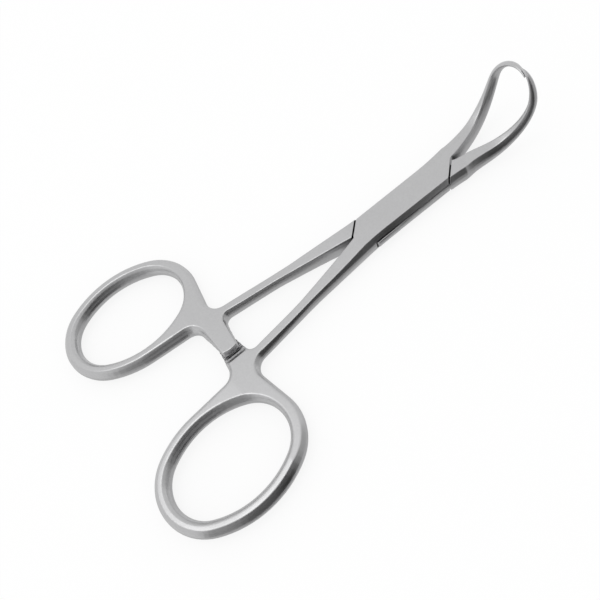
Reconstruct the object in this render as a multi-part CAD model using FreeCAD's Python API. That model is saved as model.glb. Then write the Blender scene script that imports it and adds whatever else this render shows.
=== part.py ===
import FreeCAD, Part
import math
import os

Vector = FreeCAD.Vector

# Towel clamp, 11 cm pattern: two forged halves that cross in a box lock, and the pin they turn on.
# Frame: origin on the pin's axis at the underside of the lock, +X towards the jaws, +Z up.
# Both halves are drawn with their ring on the +Y side; the slotted half is then mirrored to -Y.
# Sizes are in millimetres and degrees, and places along the tool are distances from the pin.

# Box lock
lock_thickness = 4.7
lock_face_width = 6.1
notch_inner_distance = 13.5
notch_outer_distance = 10.0
notch_inner_side = 0.1
notch_outer_side = 3.4
notch_gap = 0.3
slot_end_distance = 10.5
slot_end_side = 3.8
slot_end_gap = 0.12
tongue_thickness = 1.6
tongue_clearance = 0.05
tongue_corner_proud = 0.5

# Pin that joins the halves, with a flush countersunk head at each end
pin_radius = 1.5
pin_head_radius = 1.9
pin_head_depth = 0.45
pin_running_clearance = 0.04

# Side walls: rounded, standing out from the edges of the flat faces by the bulge at half height
ring_wall_bulge = 1.15
shank_wall_bulge = 0.8
wall_round_angle = 60.0
wall_facets = 6
edge_radius = 0.3

# Finger rings
ring_distance = 61.3
ring_side = 20.8
ring_hole_length = 28.6
ring_hole_width = 20.7
ring_hole_end_radius = 9.0
ring_face_width = 1.0
ring_tilt = -2.7
ring_far_thickness = 3.95

# Web between ring, shank and ratchet bar
neck_distance = 47.6
neck_fillet = 4.2
web_sag = 0.75
web_fillet = 4.0
crotch_fillet = 2.3

# Shank, from the lock to the web, thinned on both faces by one long hollow
shank_outer_knee_distance = 27.5
shank_outer_knee_side = 4.6
shank_outer_root_side = 6.55
shank_inner_knee_distance = 30.5
shank_inner_knee_side = 4.25
shank_root_distance = 43.0
shank_inner_root_side = 5.9
shank_bend_radius = 60.0
hollow_waist_distance = 32.0
hollow_waist_thickness = 3.2
hollow_end_distance = 52.0

# Ratchet bars and their teeth
bar_rear_distance = 50.1
bar_root_width = 3.9
bar_end_width = 3.35
bar_end_side = 2.5
bar_end_crown = 0.35
bar_end_radius = 3.0
bar_end_bulge = 0.25
bar_step_side = 5.3
bar_ramp_angle = 50.0
tooth_pitch = 1.2
tooth_count = 5
tooth_depth = 0.55
tooth_clearance = 0.05

# Jaws: forged flat, then bent up out of the plane of the handles
jaw_root_run = 1.0
jaw_root_inner_side = 0.6
jaw_root_outer_side = 3.6
jaw_straight_run = 6.0
jaw_bend_radius = 10.7
jaw_bend_angle = 72.0
jaw_widest_run = 17.9
jaw_widest_side = 5.65
jaw_hook_run = 6.8
male_hook_angle = 76.0
female_hook_angle = 119.0
jaw_tip_spacing = 0.7
jaw_tip_diameter = 0.36
jaw_face_taper = 0.17
jaw_face_share = 0.12
jaw_thickness_power = 0.6
jaw_shaft_sections = 7
jaw_hook_sections = 8

lock_middle = lock_thickness / 2
lock_half_width = lock_face_width / 2
jaw_distance = notch_inner_distance + jaw_root_run
lock_reach = 4 * lock_thickness
plan_reach = 2 * (ring_distance + ring_hole_length)
cut_margin = 1.0
smallest_run = 0.001


def flat(x, y):
    """A point of a plan outline."""
    return Vector(x, y, 0)


def left_of(heading):
    """The unit vector to the left of a heading in plan."""
    return Vector(-math.sin(heading), math.cos(heading), 0)


def corner(before, at, after, radius, bulge=shank_wall_bulge):
    """A rounded corner: the circle that touches both straight runs meeting at a point.

    The radius comes back negative where the outline turns right, so that the corner is hollow.
    """
    run_in = (at - before).normalize()
    run_out = (after - at).normalize()
    turn = math.atan2(run_in.x * run_out.y - run_in.y * run_out.x, run_in.dot(run_out))
    inward = (run_out - run_in).normalize()
    centre = at + inward * (radius / math.cos(turn / 2))
    return centre, math.copysign(radius, turn), bulge


def run_between(first, second, share):
    """Heading and ends of the straight run between two rounded corners at one level of the wall."""
    centre_1, radius_1, bulge_1 = first
    centre_2, radius_2, bulge_2 = second
    radius_1 += share * bulge_1
    radius_2 += share * bulge_2
    span = centre_2 - centre_1
    lean = (radius_2 - radius_1) / span.Length
    heading = math.atan2(span.y, span.x) - math.asin(max(-1.0, min(1.0, lean)))
    left = left_of(heading)
    start = centre_1 - left * radius_1
    end = centre_2 - left * radius_2
    return heading, start, end if (end - start).Length > smallest_run else start


def level_wire(corners, share, height):
    """The closed outline round a list of corners, grown by its share of the bulge and set to a height."""
    def lift(point):
        return Vector(point.x, point.y, height(point.x))

    runs = [run_between(here, after, share) for here, after in zip(corners, corners[1:] + corners[:1])]
    edges = []
    for (centre, radius, bulge), run_in, run_out in zip(corners, runs[-1:] + runs[:-1], runs):
        grown = radius + share * bulge
        sweep = math.remainder(run_out[0] - run_in[0], math.tau)
        if sweep * radius < 0:
            sweep += math.copysign(math.tau, radius)
        middle = centre - left_of(run_in[0] + sweep / 2) * grown
        edges.append(Part.Arc(lift(run_in[2]), lift(middle), lift(run_out[1])).toShape())
        if run_out[2] != run_out[1]:
            edges.append(Part.makeLine(lift(run_out[1]), lift(run_out[2])))
    return Part.Wire(edges)


def wall_levels():
    """Height of each level of a side wall, from -1 to 1, and its share of the bulge."""
    steepest = math.radians(wall_round_angle)
    levels = []
    for step in range(wall_facets + 1):
        angle = steepest * (2 * step / wall_facets - 1)
        levels.append((math.sin(angle) / math.sin(steepest),
                       (math.cos(angle) - math.cos(steepest)) / (1 - math.cos(steepest))))
    return levels


def half_thickness(x):
    """Half the thickness of a half at a place along it: handles thin out evenly towards the rings."""
    ring_end = ring_distance + ring_hole_length / 2 + ring_face_width
    fall = (lock_thickness - ring_far_thickness) / 2 / (ring_end - notch_outer_distance)
    return lock_middle + fall * (x + notch_outer_distance)


def plate(corners):
    """A solid with flat faces and convex walls round one outline."""
    wires = []
    for height, share in wall_levels():
        wires.append(level_wire(corners, share, lambda x: lock_middle + height * half_thickness(x)))
    return Part.makeLoft(wires, True, True)


def prism(points, bottom, top):
    """A straight solid over a plan polygon."""
    base = Part.Face(Part.makePolygon([Vector(x, y, bottom) for x, y in points + points[:1]]))
    return base.extrude(Vector(0, 0, top - bottom))


def oval(bulge, grown_by):
    """Corners of the ring's outline: an oval of two end arcs and two side arcs, front end first."""
    half_length = ring_hole_length / 2
    half_width = ring_hole_width / 2
    end = ring_hole_end_radius
    side = (half_length ** 2 + half_width ** 2 - 2 * half_length * end) / (2 * (half_width - end))
    along = Vector(math.cos(math.radians(ring_tilt)), math.sin(math.radians(ring_tilt)), 0)
    across = Vector(-along.y, along.x, 0)
    centre = flat(-ring_distance, ring_side)
    centres = [(centre + along * (half_length - end), end),
               (centre - across * (side - half_width), side),
               (centre - along * (half_length - end), end),
               (centre + across * (side - half_width), side)]
    return [(place, radius + grown_by, bulge) for place, radius in centres]


def meet(point_1, point_2, point_3, point_4):
    """Where the line through two points crosses the line through two others."""
    run = point_2 - point_1
    other = point_4 - point_3
    apart = point_3 - point_1
    share = (apart.x * other.y - apart.y * other.x) / (run.x * other.y - run.y * other.x)
    return point_1 + run * share


def half_outline(corner_proud):
    """Corners of a half's outline, anticlockwise, with its ring on +Y and its jaw on -Y."""
    lock_rear = -notch_inner_distance
    lock_front = notch_inner_distance
    jaw_end = 2 * jaw_distance - notch_outer_distance
    flare = (jaw_root_outer_side - lock_half_width) / (jaw_distance - notch_outer_distance)
    gape = (jaw_root_inner_side - notch_inner_side) / (jaw_distance - lock_front)
    gape_end_side = jaw_root_inner_side + gape * (jaw_end - jaw_distance)

    rear_free = flat(lock_rear, -lock_half_width - corner_proud)
    front_knee = flat(notch_outer_distance, -lock_half_width)
    jaw_outer = flat(jaw_end, -lock_half_width - flare * (jaw_end - notch_outer_distance))
    jaw_inner = flat(jaw_end, -gape_end_side)
    front_notch = flat(lock_front, -notch_inner_side)
    front_free = flat(lock_front, lock_half_width + corner_proud)
    rear_knee = flat(-notch_outer_distance, lock_half_width)
    outer_knee = flat(-shank_outer_knee_distance, shank_outer_knee_side)
    outer_root = flat(-shank_root_distance, shank_outer_root_side)
    inner_root = flat(-shank_root_distance, shank_inner_root_side)
    inner_knee = flat(-shank_inner_knee_distance, shank_inner_knee_side)
    rear_notch = flat(lock_rear, notch_inner_side)

    shank_fall = (outer_root.y - outer_knee.y) / (outer_root.x - outer_knee.x)
    neck_x = -neck_distance + neck_fillet
    neck_y = outer_root.y + shank_fall * (neck_x - outer_root.x) + neck_fillet * math.hypot(1, shank_fall)
    neck = flat(neck_x, neck_y), -neck_fillet, ring_wall_bulge
    ring_front, ring_outside, ring_rear, ring_inside = oval(ring_wall_bulge, ring_face_width)
    web_y = ring_side - ring_hole_width / 2 - ring_face_width - web_sag
    web = flat(-bar_rear_distance - web_fillet, web_y - web_fillet), -web_fillet, ring_wall_bulge

    bar_rear_root = flat(-bar_rear_distance, web_y)
    bar_rear_end = flat(-bar_rear_distance, -bar_end_side + bar_end_crown)
    bar_end = flat(-bar_rear_distance + bar_end_width / 2, -bar_end_side)
    bar_front_end = flat(-bar_rear_distance + bar_end_width, -bar_end_side + bar_end_crown)
    bar_front_root = flat(-bar_rear_distance + bar_root_width, shank_inner_root_side)
    crotch = meet(bar_front_end, bar_front_root, inner_root, inner_knee)

    return [
        corner(rear_notch, rear_free, front_knee, edge_radius),
        corner(rear_free, front_knee, jaw_outer, shank_bend_radius),
        corner(front_knee, jaw_outer, jaw_inner, edge_radius),
        corner(jaw_outer, jaw_inner, front_notch, edge_radius, jaw_root_inner_side - notch_inner_side),
        corner(jaw_inner, front_notch, front_free, edge_radius, 0),
        corner(front_notch, front_free, rear_knee, edge_radius),
        corner(front_free, rear_knee, outer_knee, shank_bend_radius),
        corner(rear_knee, outer_knee, outer_root, shank_bend_radius),
        neck,
        ring_front,
        ring_outside,
        ring_rear,
        ring_inside,
        web,
        corner(bar_rear_root, bar_rear_end, bar_end, edge_radius, bar_end_bulge),
        corner(bar_rear_end, bar_end, bar_front_end, bar_end_radius, bar_end_bulge),
        corner(bar_end, bar_front_end, bar_front_root, edge_radius, bar_end_bulge),
        corner(bar_front_end, crotch, inner_knee, crotch_fillet),
        corner(crotch, inner_knee, rear_notch, shank_bend_radius),
        corner(inner_knee, rear_notch, rear_free, edge_radius, 0),
    ]


def hollow():
    """What is taken off the upper face along the shank: the space above one long arc."""
    def on_face(distance, above=0):
        return Vector(-distance, -plan_reach, lock_middle + half_thickness(-distance) + above)

    ends = on_face(hollow_end_distance), on_face(notch_inner_distance)
    above = on_face(notch_inner_distance, cut_margin), on_face(hollow_end_distance, cut_margin)
    waist = Vector(-hollow_waist_distance, -plan_reach, lock_middle + hollow_waist_thickness / 2)
    edges = [Part.Arc(ends[0], waist, ends[1]).toShape()]
    edges += [Part.makeLine(*pair) for pair in ((ends[1], above[0]), above, (above[1], ends[0]))]
    return Part.Face(Part.Wire(edges)).extrude(Vector(0, 2 * plan_reach, 0))


def half_turned(points):
    """A plan polygon completed by its own half turn about the pin."""
    return points + [(-x, -y) for x, y in points]


def blank(corner_proud, cut_distance, cut_side):
    """A half before its lock is machined: outline, ring hole and slanting cuts at the lock's free corners."""
    body = plate(half_outline(corner_proud))
    body = body.cut(plate(oval(-ring_wall_bulge, 0)))
    body = body.cut(hollow()).cut(upside_down(hollow()))
    body = body.common(prism([(-plan_reach, -plan_reach), (jaw_distance, -plan_reach),
                              (jaw_distance, plan_reach), (-plan_reach, plan_reach)], 0, lock_thickness))
    run = (notch_inner_distance - cut_distance) / (cut_side - notch_inner_side)
    far_x = notch_inner_distance - run * (lock_reach - notch_inner_side)
    for turn in (-1, 1):
        slant = prism([(turn * notch_inner_distance, turn * notch_inner_side),
                       (turn * far_x, turn * lock_reach),
                       (turn * lock_reach, turn * lock_reach),
                       (turn * lock_reach, turn * notch_inner_side)], -cut_margin, lock_thickness + cut_margin)
        body = body.cut(slant)
    return body


def bent_up(run):
    """Place and slope of the jaws' top face at a distance along it, after the bend."""
    arc_run = jaw_bend_radius * math.radians(jaw_bend_angle)
    slope = min(max(run - jaw_straight_run, 0), arc_run) / jaw_bend_radius
    before = min(run, jaw_straight_run)
    beyond = max(run - jaw_straight_run - arc_run, 0)
    x = jaw_distance + before + jaw_bend_radius * math.sin(slope) + beyond * math.cos(slope)
    z = lock_thickness + jaw_bend_radius * (1 - math.cos(slope)) + beyond * math.sin(slope)
    return Vector(x, 0, z), slope


def jaw_line(tip_shift, hook_angle):
    """Centre line of a jaw before the bend: run, side and heading of each section, from root to tip."""
    root_side = (jaw_root_outer_side + shank_wall_bulge + notch_inner_side) / 2
    line = []
    for step in range(1, jaw_shaft_sections + 1):
        share = step / jaw_shaft_sections
        rise = 3 * share ** 2 - 2 * share ** 3
        side = root_side + (jaw_widest_side - root_side) * rise
        slope = 6 * share * (1 - share) * (jaw_widest_side - root_side) / jaw_widest_run
        line.append((share * jaw_widest_run, side, math.atan(slope)))
    reach = jaw_hook_run + tip_shift
    for step in range(1, jaw_hook_sections + 1):
        angle = math.radians(hook_angle) * step / jaw_hook_sections
        heading = -math.atan2(jaw_widest_side * math.sin(angle), reach * math.cos(angle))
        line.append((jaw_widest_run + reach * math.sin(angle), jaw_widest_side * math.cos(angle), heading))
    return line


def jaw_section(run, side, heading, face_width, width, thickness):
    """Section of a jaw across its centre line: flat face on top, convex walls, flat underside."""
    place, slope = bent_up(run)
    along = Vector(math.cos(slope), 0, math.sin(slope))
    normal = Vector(-math.sin(slope), 0, math.cos(slope))
    outward = Vector(0, -1, 0) * math.cos(heading) - along * math.sin(heading)
    centre = place + Vector(0, -side, 0)
    inner = []
    outer = []
    for height, share in reversed(wall_levels()):
        offset = face_width / 2 + (width - face_width) / 2 * share
        level = centre - normal * (thickness * (1 - height) / 2)
        inner.append(level - outward * offset)
        outer.append(level + outward * offset)
    ring = inner + outer[::-1]
    return Part.makePolygon(ring + ring[:1])


def root_section(body):
    """The section of a half where its jaw starts, as one closed outline."""
    ends = [face for face in body.Faces if face.BoundBox.XMin > jaw_distance - smallest_run]
    points = [vertex.Point for vertex in ends[0].Vertexes]
    middle = -(jaw_root_inner_side + jaw_root_outer_side) / 2
    inner = sorted((point for point in points if point.y > middle), key=lambda point: -point.z)
    outer = sorted((point for point in points if point.y < middle), key=lambda point: point.z)
    return Part.makePolygon(inner + outer + inner[:1])


def jaw(body, tip_shift, hook_angle):
    """A jaw that grows out of the end of a half and tapers evenly to its point."""
    line = jaw_line(tip_shift, hook_angle)
    root_face = jaw_root_outer_side - jaw_root_inner_side
    root_width = jaw_root_outer_side + shank_wall_bulge - notch_inner_side
    lengths = []
    travelled = line[0][0]
    for (run, side, heading), (run_before, side_before, heading_before) in zip(line, line[:1] + line):
        travelled += math.hypot(run - run_before, side - side_before)
        lengths.append(travelled)
    sections = [root_section(body)]
    for (run, side, heading), length in zip(line, lengths):
        left = 1 - length / lengths[-1]
        width = jaw_tip_diameter + (root_width - jaw_tip_diameter) * left
        thickness = jaw_tip_diameter + (lock_thickness - jaw_tip_diameter) * left ** jaw_thickness_power
        face_width = max(root_face - jaw_face_taper * length, jaw_face_share * width)
        sections.append(jaw_section(run, side, heading, face_width, width, thickness))
    return Part.makeLoft(sections, True, False)


def tooth_line(y_end):
    """Underside of the upper bar from its step to beyond its end: a ramp, then saw teeth."""
    crest = lock_middle + tooth_clearance / 2
    root = crest + tooth_depth
    grade = math.tan(math.radians(bar_ramp_angle))
    foot = bar_step_side - root / grade
    toothed_side = bar_step_side - (crest + tooth_depth / 2) / grade
    first_crest = tooth_pitch * math.floor(2 * toothed_side / tooth_pitch) / 2
    points = [(bar_step_side + cut_margin / grade, -cut_margin)]
    if foot > first_crest + smallest_run:
        points.append((foot, root))
    points += [(first_crest, min(root, (bar_step_side - first_crest) * grade)), (first_crest, crest)]
    for tooth in range(1, tooth_count):
        steep = first_crest - tooth * tooth_pitch
        points += [(steep, root), (steep, crest)]
    points += [(steep - tooth_pitch, root), (y_end, root)]
    return points


def bar_space():
    """What is cut away below the upper ratchet bar, where the lower bar lies."""
    y_end = -bar_end_side - 2 * tooth_pitch
    profile = tooth_line(y_end) + [(y_end, -cut_margin)]
    x_rear = -bar_rear_distance - 2 * ring_wall_bulge
    x_front = -bar_rear_distance + bar_root_width + 2 * ring_wall_bulge
    face = Part.Face(Part.makePolygon([Vector(x_rear, y, z) for y, z in profile + profile[:1]]))
    return face.extrude(Vector(x_front - x_rear, 0, 0))


def upside_down(shape):
    """A shape mirrored through the middle plane of the lock."""
    return shape.mirror(Vector(0, 0, lock_middle), Vector(0, 0, 1))


def pin():
    """The pin, from face to face of the lock."""
    shank = Part.makeCylinder(pin_radius, lock_thickness)
    foot = Part.makeCone(pin_head_radius, pin_radius, pin_head_depth)
    return shank.fuse([foot, upside_down(foot)]).removeSplitter()


def male_half():
    """The half whose tongue runs through the other: upper ratchet bar, ring on +Y."""
    body = blank(tongue_corner_proud, slot_end_distance, slot_end_side)
    body = body.fuse(jaw(body, jaw_tip_spacing / 2, male_hook_angle))
    run = Vector(notch_inner_distance - notch_outer_distance, notch_outer_side - notch_inner_side, 0)
    outward = Vector(-run.y, run.x, 0).normalize() * notch_gap
    start = Vector(-notch_inner_distance, notch_inner_side, 0) + outward
    inner = start - run * (2 * notch_inner_side / run.y)
    outer = start + run * (lock_reach / run.y)
    outline = [(inner.x, inner.y), (outer.x, outer.y), (lock_reach, outer.y), (lock_reach, -inner.y)]
    tongue_bottom = lock_middle - tongue_thickness / 2
    below = prism(half_turned(outline), -cut_margin, tongue_bottom)
    body = body.cut(below).cut(upside_down(below))
    bore = Part.makeCylinder(pin_radius + pin_running_clearance, lock_thickness)
    return body.cut(bore).cut(bar_space()).removeSplitter()


def female_half():
    """The half with the slot between two cheeks: lower ratchet bar, ring on -Y."""
    body = blank(0, notch_outer_distance, notch_outer_side)
    body = body.fuse(jaw(body, -jaw_tip_spacing / 2, female_hook_angle))
    body = body.cut(upside_down(bar_space()))
    body = body.mirror(Vector(0, 0, 0), Vector(0, 1, 0))
    run = Vector(notch_inner_distance - slot_end_distance, notch_inner_side - slot_end_side, 0)
    outward = Vector(run.y, -run.x, 0).normalize() * slot_end_gap
    start = Vector(-notch_inner_distance, -notch_inner_side, 0) + outward
    beyond = start + run * ((lock_reach - notch_inner_side) / -run.y)
    outline = [(start.x, start.y), (beyond.x, beyond.y), (-start.x, beyond.y)]
    slot_half = tongue_thickness / 2 + tongue_clearance
    slot = prism(half_turned(outline), lock_middle - slot_half, lock_middle + slot_half)
    return body.cut(slot).cut(pin()).removeSplitter()


os.makedirs("parts", exist_ok=True)
nodes = {"male_half": male_half(), "female_half": female_half(), "pivot_pin": pin()}
for name, shape in nodes.items():
    print(name, len(shape.Solids), "solid, volume", round(shape.Volume, 1), "valid", shape.isValid())
    shape.Solids[0].exportStep("parts/" + name + ".step")
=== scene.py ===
import logging
import math
from dataclasses import dataclass
from enum import Enum
from typing import Callable

import bmesh
import bpy
from mathutils import Euler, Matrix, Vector
from mathutils.bvhtree import BVHTree


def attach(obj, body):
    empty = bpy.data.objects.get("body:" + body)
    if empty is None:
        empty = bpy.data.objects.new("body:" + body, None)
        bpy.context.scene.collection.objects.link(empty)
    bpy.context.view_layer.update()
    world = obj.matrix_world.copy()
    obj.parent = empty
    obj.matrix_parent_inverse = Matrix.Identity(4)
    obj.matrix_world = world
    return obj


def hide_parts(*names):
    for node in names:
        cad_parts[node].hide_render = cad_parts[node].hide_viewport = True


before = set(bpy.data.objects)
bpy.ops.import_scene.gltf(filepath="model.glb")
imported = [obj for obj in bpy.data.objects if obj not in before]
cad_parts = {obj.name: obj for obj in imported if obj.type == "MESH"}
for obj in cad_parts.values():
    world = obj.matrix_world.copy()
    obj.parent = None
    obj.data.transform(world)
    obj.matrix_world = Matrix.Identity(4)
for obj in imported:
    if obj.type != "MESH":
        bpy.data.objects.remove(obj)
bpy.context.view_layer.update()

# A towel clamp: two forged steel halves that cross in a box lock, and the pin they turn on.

log = logging.getLogger("towel_clamp")

Triple = tuple[float, float, float]

MM = 0.001
LOCK_THICKNESS = 4.7 * MM
LOCK_MIDDLE = LOCK_THICKNESS / 2
WELD_DISTANCE = 1e-7
OTHER_HALF = {"female_half": "male_half", "male_half": "female_half"}


class Body(Enum):
    """The two halves that move against each other."""

    SLOTTED = "slotted_half"
    TONGUE = "tongue_half"


class Slot(Enum):
    """The material slots of the record."""

    SATIN = "satin_steel"
    PIN = "pin_steel"


def lerp(low: float, high: float, share: float) -> float:
    """Blends two numbers.

    Args:
        low: the result at a share of 0.
        high: the result at a share of 1.
        share: the share, which is held between 0 and 1.

    Returns:
        The blend.
    """
    return low + (high - low) * max(0.0, min(1.0, share))


def millimetres(*values: float) -> tuple[float, ...]:
    """Turns millimetres into metres.

    Args:
        values: lengths in millimetres.

    Returns:
        The same lengths in metres.
    """
    return tuple(value * MM for value in values)


def even_grey(level: float) -> tuple[float, float, float, float]:
    """Gives an opaque grey.

    Args:
        level: how bright it is, where 1 is white.

    Returns:
        Its colour.
    """
    return (level, level, level, 1.0)


def square(side: float, height: float) -> list[Triple]:
    """Gives the corners of a level square round the Z axis.

    Args:
        side: its side in metres.
        height: its height in metres.

    Returns:
        The corners, one after the other.
    """
    half = side / 2
    return [(x, y, height) for x, y in ((-half, -half), (half, -half), (half, half), (-half, half))]


def add_object(name: str, data: bpy.types.ID) -> bpy.types.Object:
    """Puts an object into the scene.

    Args:
        name: its name.
        data: its mesh, light or camera.

    Returns:
        The object.
    """
    made = bpy.data.objects.new(name, data)
    bpy.context.scene.collection.objects.link(made)
    return made


def add_surface(name: str, corners: list[Triple],
                faces: list[tuple[int, ...]]) -> bpy.types.Object:
    """Puts a plain mesh into the scene.

    Args:
        name: its name.
        corners: its corners in metres.
        faces: its faces, by corner.

    Returns:
        The object.
    """
    mesh = bpy.data.meshes.new(name)
    mesh.from_pydata(corners, [], faces)
    return add_object(name, mesh)


def add_material(name: str) -> tuple[bpy.types.Material, bpy.types.Nodes, Callable]:
    """Starts a material.

    Args:
        name: its name.

    Returns:
        The material, its nodes and the call that joins two sockets.
    """
    made = bpy.data.materials.new(name)
    made.use_nodes = True
    return made, made.node_tree.nodes, made.node_tree.links.new


def bake(piece: bpy.types.Object) -> None:
    """Turns a piece with its modifiers into a plain mesh.

    Args:
        piece: the piece, whose modifiers are removed.
    """
    bpy.context.view_layer.update()
    shown = piece.evaluated_get(bpy.context.evaluated_depsgraph_get())
    plain = bpy.data.meshes.new_from_object(shown)
    plain.name = piece.name
    piece.modifiers.clear()
    piece.data = plain


@dataclass(frozen=True)
class SteelFinish:
    """A finish of stainless steel, made of noise on object coordinates.

    Attributes:
        name: name of the material.
        colour: the steel's own colour, linear.
        rough_low: roughness where the surface was rubbed.
        rough_high: roughness where it is as it left the blasting cabinet.
        rubbed_edge_highlight_colour: the lighter colour painted on rubbed edges as a highlight, so
            that they show as bright lines.
        worn_rough: roughness on rubbed edges.
        painted_gap_shade_colour: near-black colour painted where the halves lie close together,
            standing in for the shade deep in the joint's gaps.
        clouds_per_m: patches of other roughness to a metre.
        cloud_range: values of the patches' noise from fully rubbed to untouched.
        tones_per_m: patches of other tone to a metre.
        tone_range: values of the tone's noise from the darker steel to its own colour.
        dark_tone: share of the colour that the darker patches have.
        grain_per_m: grains to a metre.
        grain_depth: height of the grain in metres.
        scratches_per_m: scratches to a metre across them.
        scratch_turn: direction of the scratches about Z, in degrees.
        scratch_stretch: how the noise is scaled on each axis to draw it out into scratches.
        scratch_crest: values of the noise between which a scratch rises.
        scratch_depth: height of the handling scratches in metres.
    """

    name: str
    colour: Triple
    rough_low: float
    rough_high: float
    # Painted highlight: rubbed edges are given a lighter colour than the steel's own; their lower
    # roughness below is real wear.
    rubbed_edge_highlight_colour: Triple = (0.58, 0.58, 0.585)
    worn_rough: float = 0.24
    # Painted shade: the near-black colour laid in the gaps between the halves.
    painted_gap_shade_colour: Triple = (0.03, 0.03, 0.032)
    clouds_per_m: float = 90.0
    cloud_range: tuple[float, float] = (0.32, 0.68)
    tones_per_m: float = 2450.0
    tone_range: tuple[float, float] = (0.3, 0.7)
    dark_tone: float = 0.94
    grain_per_m: float = 7000.0
    grain_depth: float = 1.5e-6
    scratches_per_m: float = 2600.0
    scratch_turn: float = 34.0
    scratch_stretch: Triple = (0.05, 1.0, 0.6)
    scratch_crest: tuple[float, float] = (0.66, 0.74)
    scratch_depth: float = 1.0e-6

    def material(self) -> bpy.types.Material:
        """Builds the material.

        Returns:
            The material, with its nodes set.
        """
        made, nodes, link = add_material(self.name)
        steel = nodes["Principled BSDF"]
        steel.inputs["Metallic"].default_value = 1.0
        place = nodes.new("ShaderNodeTexCoord").outputs["Object"]
        wear = self._attribute(nodes, "wear")
        link(self._roughness(nodes, link, place, wear), steel.inputs["Roughness"])
        colour = self._tone(nodes, link, place)
        # Painted highlight: rubbed edges get a lighter colour so that they show as bright lines;
        # their lower roughness above is real wear.
        colour = self._covered(nodes, link, colour, self.rubbed_edge_highlight_colour, wear)
        # Painted shade: near-black is laid over the steel wherever the other half is close, in the
        # lock's gaps and at the ratchet.
        painted_gap_shade = self._attribute(nodes, "painted_gap_shade")
        colour = self._covered(nodes, link, colour, self.painted_gap_shade_colour, painted_gap_shade)
        link(colour, steel.inputs["Base Color"])
        grain = self._noise(nodes, link, place, self.grain_per_m, 2.0)
        bump = self._bump(nodes, link, grain, self.grain_depth, None)
        scratches = self._scratches(nodes, link, place)
        bump = self._bump(nodes, link, scratches, self.scratch_depth, bump)
        link(bump, steel.inputs["Normal"])
        return made

    def _roughness(self, nodes: bpy.types.Nodes, link: Callable, place: bpy.types.NodeSocket,
                   wear: bpy.types.NodeSocket) -> bpy.types.NodeSocket:
        """Adds the roughness: cloudy, and smoother on rubbed edges.

        Args:
            nodes: the material's nodes.
            link: the call that joins two sockets.
            place: the coordinates.
            wear: how far the edge was rubbed.

        Returns:
            The roughness socket.
        """
        clouds = self._noise(nodes, link, place, self.clouds_per_m, 4.0)
        cloudy = self._ranged(nodes, link, clouds, self.cloud_range,
                              (self.rough_low, self.rough_high))
        rough = nodes.new("ShaderNodeMix")
        rough.data_type = "FLOAT"
        rough.inputs["B"].default_value = self.worn_rough
        link(wear, rough.inputs["Factor"])
        link(cloudy, rough.inputs["A"])
        return rough.outputs["Result"]

    def _tone(self, nodes: bpy.types.Nodes, link: Callable,
              place: bpy.types.NodeSocket) -> bpy.types.NodeSocket:
        """Adds the steel's colour with its fine darker patches.

        Args:
            nodes: the material's nodes.
            link: the call that joins two sockets.
            place: the coordinates.

        Returns:
            The colour socket.
        """
        tone = nodes.new("ShaderNodeValToRGB")
        shares = (self.dark_tone, 1.0)
        for stop, position, share in zip(tone.color_ramp.elements, self.tone_range, shares):
            stop.position = position
            stop.color = (*(part * share for part in self.colour), 1.0)
        link(self._noise(nodes, link, place, self.tones_per_m, 3.0), tone.inputs["Fac"])
        return tone.outputs["Color"]

    def _scratches(self, nodes: bpy.types.Nodes, link: Callable,
                   place: bpy.types.NodeSocket) -> bpy.types.NodeSocket:
        """Adds sparse fine scratches: drawn out noise of which only the crests are kept.

        Args:
            nodes: the material's nodes.
            link: the call that joins two sockets.
            place: the coordinates.

        Returns:
            The scratches' value socket.
        """
        mapping = nodes.new("ShaderNodeMapping")
        mapping.inputs["Rotation"].default_value = (0.0, 0.0, math.radians(self.scratch_turn))
        mapping.inputs["Scale"].default_value = self.scratch_stretch
        link(place, mapping.inputs["Vector"])
        drawn = self._noise(nodes, link, mapping.outputs["Vector"], self.scratches_per_m, 1.0)
        return self._ranged(nodes, link, drawn, self.scratch_crest, (0.0, 1.0))

    @staticmethod
    def _attribute(nodes: bpy.types.Nodes, name: str) -> bpy.types.NodeSocket:
        """Reads an attribute of the piece.

        Args:
            nodes: the material's nodes.
            name: the attribute's name.

        Returns:
            Its value socket.
        """
        attribute = nodes.new("ShaderNodeAttribute")
        attribute.attribute_name = name
        return attribute.outputs["Fac"]

    @staticmethod
    def _noise(nodes: bpy.types.Nodes, link: Callable, place: bpy.types.NodeSocket,
               scale: float, detail: float) -> bpy.types.NodeSocket:
        """Adds noise.

        Args:
            nodes: the material's nodes.
            link: the call that joins two sockets.
            place: the coordinates.
            scale: grains to a metre.
            detail: the noise's octaves.

        Returns:
            The noise's value socket.
        """
        noise = nodes.new("ShaderNodeTexNoise")
        noise.inputs["Scale"].default_value = scale
        noise.inputs["Detail"].default_value = detail
        link(place, noise.inputs["Vector"])
        return noise.outputs["Fac"]

    @staticmethod
    def _ranged(nodes: bpy.types.Nodes, link: Callable, value: bpy.types.NodeSocket,
                given: tuple[float, float], wanted: tuple[float, float]) -> bpy.types.NodeSocket:
        """Stretches a value from one range to another.

        Args:
            nodes: the material's nodes.
            link: the call that joins two sockets.
            value: the value's socket.
            given: the range that it comes in.
            wanted: the range that it leaves in.

        Returns:
            The new value's socket.
        """
        ranged = nodes.new("ShaderNodeMapRange")
        for name, end in zip(("From Min", "From Max", "To Min", "To Max"), given + wanted):
            ranged.inputs[name].default_value = end
        link(value, ranged.inputs["Value"])
        return ranged.outputs["Result"]

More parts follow.
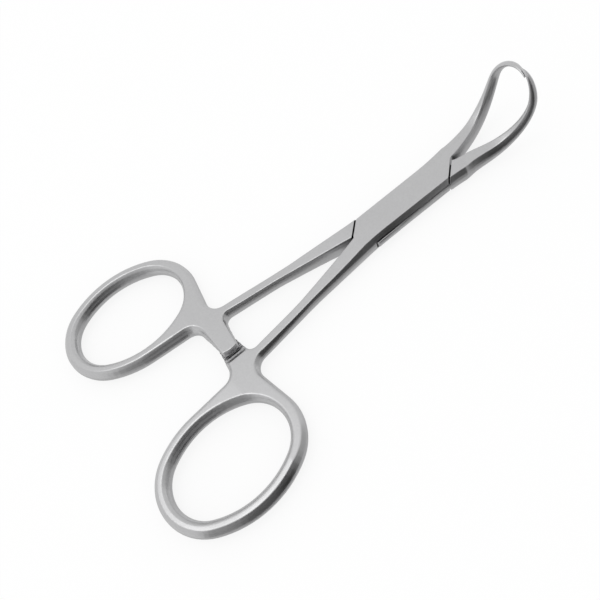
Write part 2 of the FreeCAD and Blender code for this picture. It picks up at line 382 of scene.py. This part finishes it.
    @staticmethod
    def _covered(nodes: bpy.types.Nodes, link: Callable, under: bpy.types.NodeSocket,
                 colour: Triple, share: bpy.types.NodeSocket) -> bpy.types.NodeSocket:
        """Lays one colour over another.

        Args:
            nodes: the material's nodes.
            link: the call that joins two sockets.
            under: the colour below.
            colour: the colour on top.
            share: how much of it shows.

        Returns:
            The mixed colour's socket.
        """
        mix = nodes.new("ShaderNodeMixRGB")
        mix.inputs["Color2"].default_value = (*colour, 1.0)
        link(share, mix.inputs["Fac"])
        link(under, mix.inputs["Color1"])
        return mix.outputs["Color"]

    @staticmethod
    def _bump(nodes: bpy.types.Nodes, link: Callable, height: bpy.types.NodeSocket, depth: float,
              below: bpy.types.NodeSocket | None) -> bpy.types.NodeSocket:
        """Adds a bump of a real depth, over another if there is one.

        Args:
            nodes: the material's nodes.
            link: the call that joins two sockets.
            height: the height's socket.
            depth: the height in metres that a value of 1 stands for.
            below: the normal of the bump under this one.

        Returns:
            The normal socket.
        """
        bump = nodes.new("ShaderNodeBump")
        bump.inputs["Distance"].default_value = depth
        link(height, bump.inputs["Height"])
        if below is not None:
            link(below, bump.inputs["Normal"])
        return bump.outputs["Normal"]


SATIN = SteelFinish("satin_stainless", (0.50, 0.50, 0.505), 0.28, 0.36)
GROUND_PIN = SteelFinish("ground_pin", (0.50, 0.50, 0.505), 0.28, 0.36)


@dataclass(frozen=True)
class Zone:
    """A box in which the forging was worn less than elsewhere, or not at all.

    Attributes:
        name: what is there.
        low: the box's lowest corner in metres.
        high: the box's highest corner in metres.
        wear: share of the full rounding that edges get there.
    """

    name: str
    low: Triple
    high: Triple
    wear: float

    def holds(self, point: Vector) -> bool:
        """Says whether a point lies in the box.

        Args:
            point: the point in metres.

        Returns:
            True in the box and on its faces.
        """
        return all(low <= value <= high for low, value, high in zip(self.low, point, self.high))


RATCHET = Zone("ratchet teeth", millimetres(-52, -5.2, 1.2), millimetres(-44, 5.2, 3.6), 0.2)
ZONES = (RATCHET,
         Zone("pin seat", millimetres(-2.4, -2.4, -1), millimetres(2.4, 2.4, 6), 0.0),
         Zone("lock notches", millimetres(-14.2, -2.9, -1), millimetres(14.2, 2.9, 6), 0.2),
         Zone("slot and tongue", millimetres(-14.2, -6, 1.0), millimetres(14.2, 6, 3.7), 0.2))


@dataclass
class Forging:
    """One half of the clamp, from ring to point, with the edges of the forging rubbed round.

    Attributes:
        node: the solid that it stands for.
        body: the body that it rides on.
        steel: its material.
        grain: size of the even mesh that the solid is turned into, in metres.
        rubs: how often the mesh is smoothed, which sets how round its edges get.
        rub_strength: how far a point moves to the middle of its neighbours each time.
        triangles: how many triangles the finished piece keeps.
        least_wear: how far an edge has to be worn back, in metres, before it gets the painted
            highlight colour and the lower roughness.
        full_wear: how far it is worn back, in metres, where the painted highlight and the lower
            roughness are at their fullest.
        jaw_start: where the jaw starts to thin out, in metres along X.
        point_height: height of the points in metres.
        jaw_wear: share of the full rounding where the jaw starts.
        point_wear: share of it that is left at the point.
        facing_reach: distance to the other half, in metres, up to which a face opposite it gets
            painted shade.
        side_reach: the same for a face that runs past it.
        fade: over what distance the painted shade ends, in metres.
        sliding_painted_shade: how much painted shade the flat faces get that slide on each other.
        sliding_facing: cosine from which a face counts as one that looks at the other half.
        sliding_level: cosine from which a face counts as level.
        lock_reach: how far along X, in metres, the lock has gaps between the halves.
    """

    node: str
    body: Body
    steel: bpy.types.Material
    grain: float = 0.12 * MM
    rubs: int = 8
    rub_strength: float = 0.5
    triangles: int = 170_000
    least_wear: float = 0.012 * MM
    full_wear: float = 0.06 * MM
    jaw_start: float = 14.5 * MM
    point_height: float = 17.3 * MM
    jaw_wear: float = 0.8
    point_wear: float = 0.25
    facing_reach: float = 0.45 * MM
    side_reach: float = 0.21 * MM
    fade: float = 0.08 * MM
    # Painted shade on the flat faces that slide on each other, lighter than in the gaps.
    sliding_painted_shade: float = 0.35
    sliding_facing: float = 0.7
    sliding_level: float = 0.9
    lock_reach: float = 14.2 * MM

    def build(self) -> bpy.types.Object:
        """Makes the half's piece from its solid.

        Returns:
            The finished piece, riding on its body.
        """
        mesh = bpy.data.meshes.new(self.node + "_forging")
        work = bmesh.new()
        work.from_mesh(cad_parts[self.node].data)
        bmesh.ops.remove_doubles(work, verts=work.verts, dist=WELD_DISTANCE)
        work.to_mesh(mesh)
        work.free()
        piece = add_object(self.node + "_forging", mesh)
        self._even_out(piece)
        self._rub(piece)
        # Painted shade: works out how dark each point is painted for lying close to the other half.
        self._paint_gap_shade(piece)
        self._thin_out(piece)
        piece.data.materials.clear()
        piece.data.materials.append(self.steel)
        piece.data.polygons.foreach_set("use_smooth", [True] * len(piece.data.polygons))
        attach(piece, self.body.value)
        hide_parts(self.node)
        log.info("%s: %d faces on %s", piece.name, len(piece.data.polygons), self.body.value)
        return piece

    def _wear(self, point: Vector) -> float:
        """Says how much an edge is rounded at a place.

        Args:
            point: the place in metres.

        Returns:
            Share of the full rounding: a zone's own, all of it on the handles, and less and less
            of it up the jaws.
        """
        for zone in ZONES:
            if zone.holds(point):
                return zone.wear
        if point.x < self.jaw_start:
            return 1.0
        rise = (point.z - LOCK_MIDDLE) / (self.point_height - LOCK_THICKNESS)
        return lerp(self.jaw_wear, self.point_wear, rise)

    def _even_out(self, piece: bpy.types.Object) -> None:
        """Turns the solid's long triangles into an even mesh of squares.

        Args:
            piece: the half's piece.
        """
        even = piece.modifiers.new("even_mesh", "REMESH")
        even.mode = "VOXEL"
        even.voxel_size = self.grain
        bake(piece)

    def _rub(self, piece: bpy.types.Object) -> None:
        """Rounds the edges, and keeps how far each point was worn back as the attribute wear, which
        lowers the roughness of rubbed edges and paints a lighter highlight colour on them.

        Args:
            piece: the half's piece.
        """
        group = piece.vertex_groups.new(name="worn")
        before = [vertex.co.copy() for vertex in piece.data.vertices]
        normals = [vertex.normal.copy() for vertex in piece.data.vertices]
        for index, place in enumerate(before):
            group.add([index], self._wear(place), "REPLACE")
        rub = piece.modifiers.new("rubbed", "SMOOTH")
        rub.factor = self.rub_strength
        rub.iterations = self.rubs
        rub.vertex_group = "worn"
        bake(piece)
        depths = [(old - vertex.co).dot(normal)
                  for old, vertex, normal in zip(before, piece.data.vertices, normals)]
        span = self.full_wear - self.least_wear
        worn = [lerp(0.0, 1.0, (depth - self.least_wear) / span) for depth in depths]
        self._keep(piece, "wear", worn)
        piece.vertex_groups.clear()

    def _paint_gap_shade(self, piece: bpy.types.Object) -> None:
        """Keeps, as the attribute painted_gap_shade, how much painted shade each point gets for
        lying close to the other half.

        Args:
            piece: the half's piece.
        """
        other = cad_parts[OTHER_HALF[self.node]].data
        tree = BVHTree.FromPolygons([vertex.co for vertex in other.vertices],
                                    [polygon.vertices for polygon in other.polygons])
        self._keep(piece, "painted_gap_shade", [self._gap_shade_share(tree, vertex.co, vertex.normal)
                                    for vertex in piece.data.vertices])

    def _gap_shade_share(self, other: BVHTree, point: Vector, normal: Vector) -> float:
        """Says how much painted shade a point gets because the other half is close.

        Args:
            other: the other half's faces.
            point: the point.
            normal: its normal.

        Returns:
            From 0 in the open to 1 in a gap.
        """
        if abs(point.x) > self.lock_reach and not RATCHET.holds(point):
            return 0.0
        nearest, _, _, distance = other.find_nearest(point, self.facing_reach)
        if nearest is None:
            return 0.0
        facing = (nearest - point).normalized().dot(normal)
        reach = lerp(self.side_reach, self.facing_reach, facing)
        slides = facing > self.sliding_facing and abs(normal.z) > self.sliding_level
        return lerp(0.0, self.sliding_painted_shade if slides else 1.0, (reach - distance) / self.fade)

    def _thin_out(self, piece: bpy.types.Object) -> None:
        """Takes out the triangles that flat faces don't need, two to each square.

        Args:
            piece: the half's piece.
        """
        thin = piece.modifiers.new("thinned", "DECIMATE")
        thin.ratio = min(1.0, self.triangles / (2 * len(piece.data.polygons)))
        bake(piece)

    @staticmethod
    def _keep(piece: bpy.types.Object, name: str, values: list[float]) -> None:
        """Keeps a number for each point as an attribute of the piece.

        Args:
            piece: the half's piece.
            name: the attribute's name.
            values: the numbers, in the order of the points.
        """
        kept = piece.data.attributes.new(name, "FLOAT", "POINT")
        kept.data.foreach_set("value", values)


@dataclass
class PivotPin:
    """The countersunk rivet of the box lock, turned from its profile by a node tree.

    Attributes:
        steel: its material.
        length: from face to face of the lock, because its ends are ground flush.
        shank_radius: radius between the countersinks.
        head_radius: radius of an end, a little more than the solid's.
        head_depth: depth of a countersink.
        around: sides of the round.
        sharp_angle: angle in degrees from which an edge is drawn sharp.
    """

    steel: bpy.types.Material
    length: float = LOCK_THICKNESS
    shank_radius: float = 1.5 * MM
    head_radius: float = 2.1 * MM
    head_depth: float = 0.45 * MM
    around: int = 96
    sharp_angle: float = 30.0

    def build(self) -> bpy.types.Object:
        """Makes the pin's piece.

        Returns:
            The finished piece, riding on the slotted half.
        """
        piece = add_object("rivet_pin", bpy.data.meshes.new("rivet_pin"))
        turned = piece.modifiers.new("turned", "NODES")
        turned.node_group = self._tree()
        sizes = {"Length": self.length, "Shank radius": self.shank_radius,
                 "Head radius": self.head_radius, "Head depth": self.head_depth,
                 "Around": self.around}
        for item in turned.node_group.interface.items_tree:
            if item.item_type == "SOCKET" and item.in_out == "INPUT" and item.name in sizes:
                turned[item.identifier] = sizes[item.name]
        bake(piece)
        piece.data.set_sharp_from_angle(angle=math.radians(self.sharp_angle))
        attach(piece, Body.SLOTTED.value)
        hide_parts("pivot_pin")
        log.info("%s: %d faces", piece.name, len(piece.data.polygons))
        return piece

    def _tree(self) -> bpy.types.NodeTree:
        """Builds the tree that turns the pin: a shank with a cone at each end, joined by a union.

        Returns:
            The node tree.
        """
        tree = bpy.data.node_groups.new("turned_pin", "GeometryNodeTree")
        face = tree.interface
        face.new_socket("Geometry", in_out="INPUT", socket_type="NodeSocketGeometry")
        for name in ("Length", "Shank radius", "Head radius", "Head depth"):
            face.new_socket(name, in_out="INPUT", socket_type="NodeSocketFloat")
        face.new_socket("Around", in_out="INPUT", socket_type="NodeSocketInt")
        face.new_socket("Geometry", in_out="OUTPUT", socket_type="NodeSocketGeometry")
        nodes, link = tree.nodes, tree.links.new
        given = nodes.new("NodeGroupInput").outputs
        shank = nodes.new("GeometryNodeMeshCylinder")
        shank.fill_type = "NGON"
        link(given["Around"], shank.inputs["Vertices"])
        link(given["Shank radius"], shank.inputs["Radius"])
        link(given["Length"], shank.inputs["Depth"])
        half = nodes.new("ShaderNodeMath")
        half.operation = "MULTIPLY"
        half.inputs[1].default_value = 0.5
        link(given["Length"], half.inputs[0])
        raised = self._lifted(nodes, link, shank.outputs["Mesh"], half.outputs[0])
        foot = self._cone(nodes, link, given, "Head radius", "Shank radius")
        head = self._cone(nodes, link, given, "Shank radius", "Head radius")
        drop = nodes.new("ShaderNodeMath")
        drop.operation = "SUBTRACT"
        link(given["Length"], drop.inputs[0])
        link(given["Head depth"], drop.inputs[1])
        lifted = self._lifted(nodes, link, head, drop.outputs[0])
        union = nodes.new("GeometryNodeMeshBoolean")
        union.operation = "UNION"
        union.solver = "EXACT"
        for part in (raised, foot, lifted):
            link(part, union.inputs[1])
        real = nodes.new("GeometryNodeRealizeInstances")
        link(union.outputs["Mesh"], real.inputs["Geometry"])
        dressed = nodes.new("GeometryNodeSetMaterial")
        dressed.inputs["Material"].default_value = self.steel
        link(real.outputs["Geometry"], dressed.inputs["Geometry"])
        link(dressed.outputs["Geometry"], nodes.new("NodeGroupOutput").inputs["Geometry"])
        return tree

    @staticmethod
    def _lifted(nodes: bpy.types.Nodes, link: Callable, shape: bpy.types.NodeSocket,
                height: bpy.types.NodeSocket) -> bpy.types.NodeSocket:
        """Moves a shape up.

        Args:
            nodes: the tree's nodes.
            link: the call that joins two sockets.
            shape: the shape's socket.
            height: how far it goes up.

        Returns:
            The moved shape's socket.
        """
        offset = nodes.new("ShaderNodeCombineXYZ")
        link(height, offset.inputs["Z"])
        moved = nodes.new("GeometryNodeTransform")
        link(shape, moved.inputs["Geometry"])
        link(offset.outputs[0], moved.inputs["Translation"])
        return moved.outputs["Geometry"]

    @staticmethod
    def _cone(nodes: bpy.types.Nodes, link: Callable, given: bpy.types.NodeOutputs,
              bottom: str, top: str) -> bpy.types.NodeSocket:
        """Adds a countersink's cone.

        Args:
            nodes: the tree's nodes.
            link: the call that joins two sockets.
            given: the tree's inputs.
            bottom: name of the radius at the bottom.
            top: name of the radius at the top.

        Returns:
            The cone's mesh socket.
        """
        cone = nodes.new("GeometryNodeMeshCone")
        cone.fill_type = "NGON"
        link(given["Around"], cone.inputs["Vertices"])
        link(given[bottom], cone.inputs["Radius Bottom"])
        link(given[top], cone.inputs["Radius Top"])
        link(given["Head depth"], cone.inputs["Depth"])
        return cone.outputs["Mesh"]


@dataclass(frozen=True)
class Board:
    """A curved board that shows only in the steel.

    Attributes:
        name: which board.
        first: angle about Z, in degrees, at which it starts.
        last: angle at which it ends.
        grey: how bright it is, where 1 is white.
        foot: height of its lower edge in metres.
        top: height of its upper edge.
    """

    name: str
    first: float
    last: float
    grey: float
    foot: float = -0.20
    top: float = 0.33


BOARDS = (Board("board_left", -150.0, -122.0, 0.42),
          Board("board_behind_camera_left", -122.0, -88.0, 0.14, foot=-0.34, top=0.46),
          Board("board_behind_camera", -88.0, -67.0, 0.02, foot=-0.34, top=0.46),
          Board("board_behind_camera_right", -67.0, -59.0, 0.40, foot=-0.30, top=0.42),
          Board("board_right", -59.0, -12.0, 0.62))


@dataclass
class Studio:
    """A pale table under soft light, with boards of several greys that shade the steel's walls.

    Attributes:
        camera_place: the camera's place in metres.
        camera_turn: the camera's turn in degrees about X, Y and Z.
        lens: focal length in millimetres.
        sensor_width: width of the camera's sensor in millimetres.
        sight: nearest and farthest distance that the camera sees, in metres.
        light_place: place of the soft light in metres.
        light_side: side of the soft light in metres.
        light_watts: its power.
        room_grey: how bright the room is, where 1 is white.
        table_size: side of the table in metres.
        table_drop: gap under the clamp in metres, so that faces don't fight.
        table_grey: how bright the table's paper is.
        table_glow: share of plain white that the camera sees on the table.
        boards: what the steel mirrors on the camera's side.
        board_radius: distance of the boards in metres.
        board_steps: flat pieces that a board's curve is made of.
        sheet_size: side of the sheet under the table in metres.
        sheet_height: height of the sheet under the table, which the steel mirrors, in metres.
        sheet_grey: how bright the sheet is.
    """

    camera_place: Triple = millimetres(-46.275, -77.329, 127.645)
    camera_turn: Triple = (28.1819, 14.3912, -36.6728)
    lens: float = 42.0
    sensor_width: float = 36.0
    sight: tuple[float, float] = (0.005, 20.0)
    light_place: Triple = (-0.18, 0.10, 0.70)
    light_side: float = 0.32
    light_watts: float = 0.49
    room_grey: float = 1.0
    table_size: float = 6.0
    table_drop: float = 0.05 * MM
    table_grey: float = 0.90
    table_glow: float = 0.85
    boards: tuple[Board, ...] = BOARDS
    board_radius: float = 0.35
    board_steps: int = 12
    sheet_size: float = 1.0
    sheet_height: float = -0.36
    sheet_grey: float = 0.74

    def build(self) -> None:
        """Sets up the table, the boards, the room, the light and the camera."""
        self._table()
        self._boards()
        self._room()
        self._light()
        self._camera()

    def _camera(self) -> None:
        """Sets the camera where the photograph was taken from."""
        data = bpy.data.cameras.new("camera")
        data.lens = self.lens
        data.sensor_width = self.sensor_width
        data.sensor_fit = "HORIZONTAL"
        data.clip_start, data.clip_end = self.sight
        camera = add_object("camera", data)
        camera.location = self.camera_place
        camera.rotation_euler = Euler([math.radians(angle) for angle in self.camera_turn])
        bpy.context.scene.camera = camera

    def _light(self) -> None:
        """Hangs the square soft light, which faces the clamp."""
        data = bpy.data.lights.new("softbox_over", "AREA")
        data.shape = "SQUARE"
        data.size = self.light_side
        data.energy = self.light_watts
        light = add_object("softbox_over", data)
        light.location = self.light_place
        aim = (-Vector(self.light_place)).to_track_quat("-Z", "Y")
        light.rotation_euler = aim.to_euler()

    def _room(self) -> None:
        """Sets an even pale room."""
        world = bpy.data.worlds.new("room")
        bpy.context.scene.world = world
        world.use_nodes = True
        walls = world.node_tree.nodes["Background"]
        walls.inputs["Color"].default_value = even_grey(self.room_grey)

    def _table(self) -> None:
        """Lays the table's plain top, matt paper that the steel doesn't mirror."""
        top = add_surface("table_top", square(self.table_size, -self.table_drop), [(0, 1, 2, 3)])
        top.visible_glossy = False
        paper, nodes, link = add_material("table_paper")
        matt = nodes["Principled BSDF"]
        matt.inputs["Base Color"].default_value = even_grey(self.table_grey)
        matt.inputs["Roughness"].default_value = 1.0
        matt.inputs["Specular IOR Level"].default_value = 0.0
        glow = nodes.new("ShaderNodeEmission")
        path = nodes.new("ShaderNodeLightPath")
        share = nodes.new("ShaderNodeMath")
        share.operation = "MULTIPLY"
        share.inputs[1].default_value = self.table_glow
        mix = nodes.new("ShaderNodeMixShader")
        link(path.outputs["Is Camera Ray"], share.inputs[0])
        link(share.outputs[0], mix.inputs["Fac"])
        link(matt.outputs["BSDF"], mix.inputs[1])
        link(glow.outputs["Emission"], mix.inputs[2])
        link(mix.outputs["Shader"], nodes["Material Output"].inputs["Surface"])
        top.data.materials.append(paper)

    def _boards(self) -> None:
        """Stands the boards on the camera's side and lays the sheet under the table."""
        for board in self.boards:
            first, last = math.radians(board.first), math.radians(board.last)
            turns = [lerp(first, last, step / self.board_steps)
                     for step in range(self.board_steps + 1)]
            corners = [(self.board_radius * math.cos(turn), self.board_radius * math.sin(turn),
                        height)
                       for turn in turns for height in (board.foot, board.top)]
            faces = [(2 * step, 2 * step + 2, 2 * step + 3, 2 * step + 1)
                     for step in range(self.board_steps)]
            self._mirrored(board.name, corners, faces, board.grey)
        self._mirrored("sheet_below", square(self.sheet_size, self.sheet_height),
                       [(0, 1, 2, 3)], self.sheet_grey)

    @staticmethod
    def _mirrored(name: str, corners: list[Triple], faces: list[tuple[int, ...]],
                  grey: float) -> None:
        """Adds a plain surface that only shows in the steel's reflections.

        Args:
            name: the surface's name.
            corners: its corners in metres.
            faces: its faces, by corner.
            grey: how bright it is, where 1 is white.
        """
        surface = add_surface(name, corners, faces)
        surface.visible_camera = False
        surface.visible_diffuse = False
        surface.visible_shadow = False
        paint, nodes, link = add_material(name)
        even = nodes.new("ShaderNodeEmission")
        even.inputs["Color"].default_value = even_grey(grey)
        link(even.outputs["Emission"], nodes["Material Output"].inputs["Surface"])
        surface.data.materials.append(paint)


def main() -> None:
    """Builds the clamp's pieces and the studio."""
    logging.basicConfig(level=logging.INFO, format="%(message)s")
    satin = SATIN.material()
    Forging("female_half", Body.SLOTTED, satin).build()
    Forging("male_half", Body.TONGUE, satin).build()
    PivotPin(GROUND_PIN.material()).build()
    Studio().build()
    bpy.context.scene.view_settings.view_transform = "Standard"


if __name__ == "__main__":
    main()
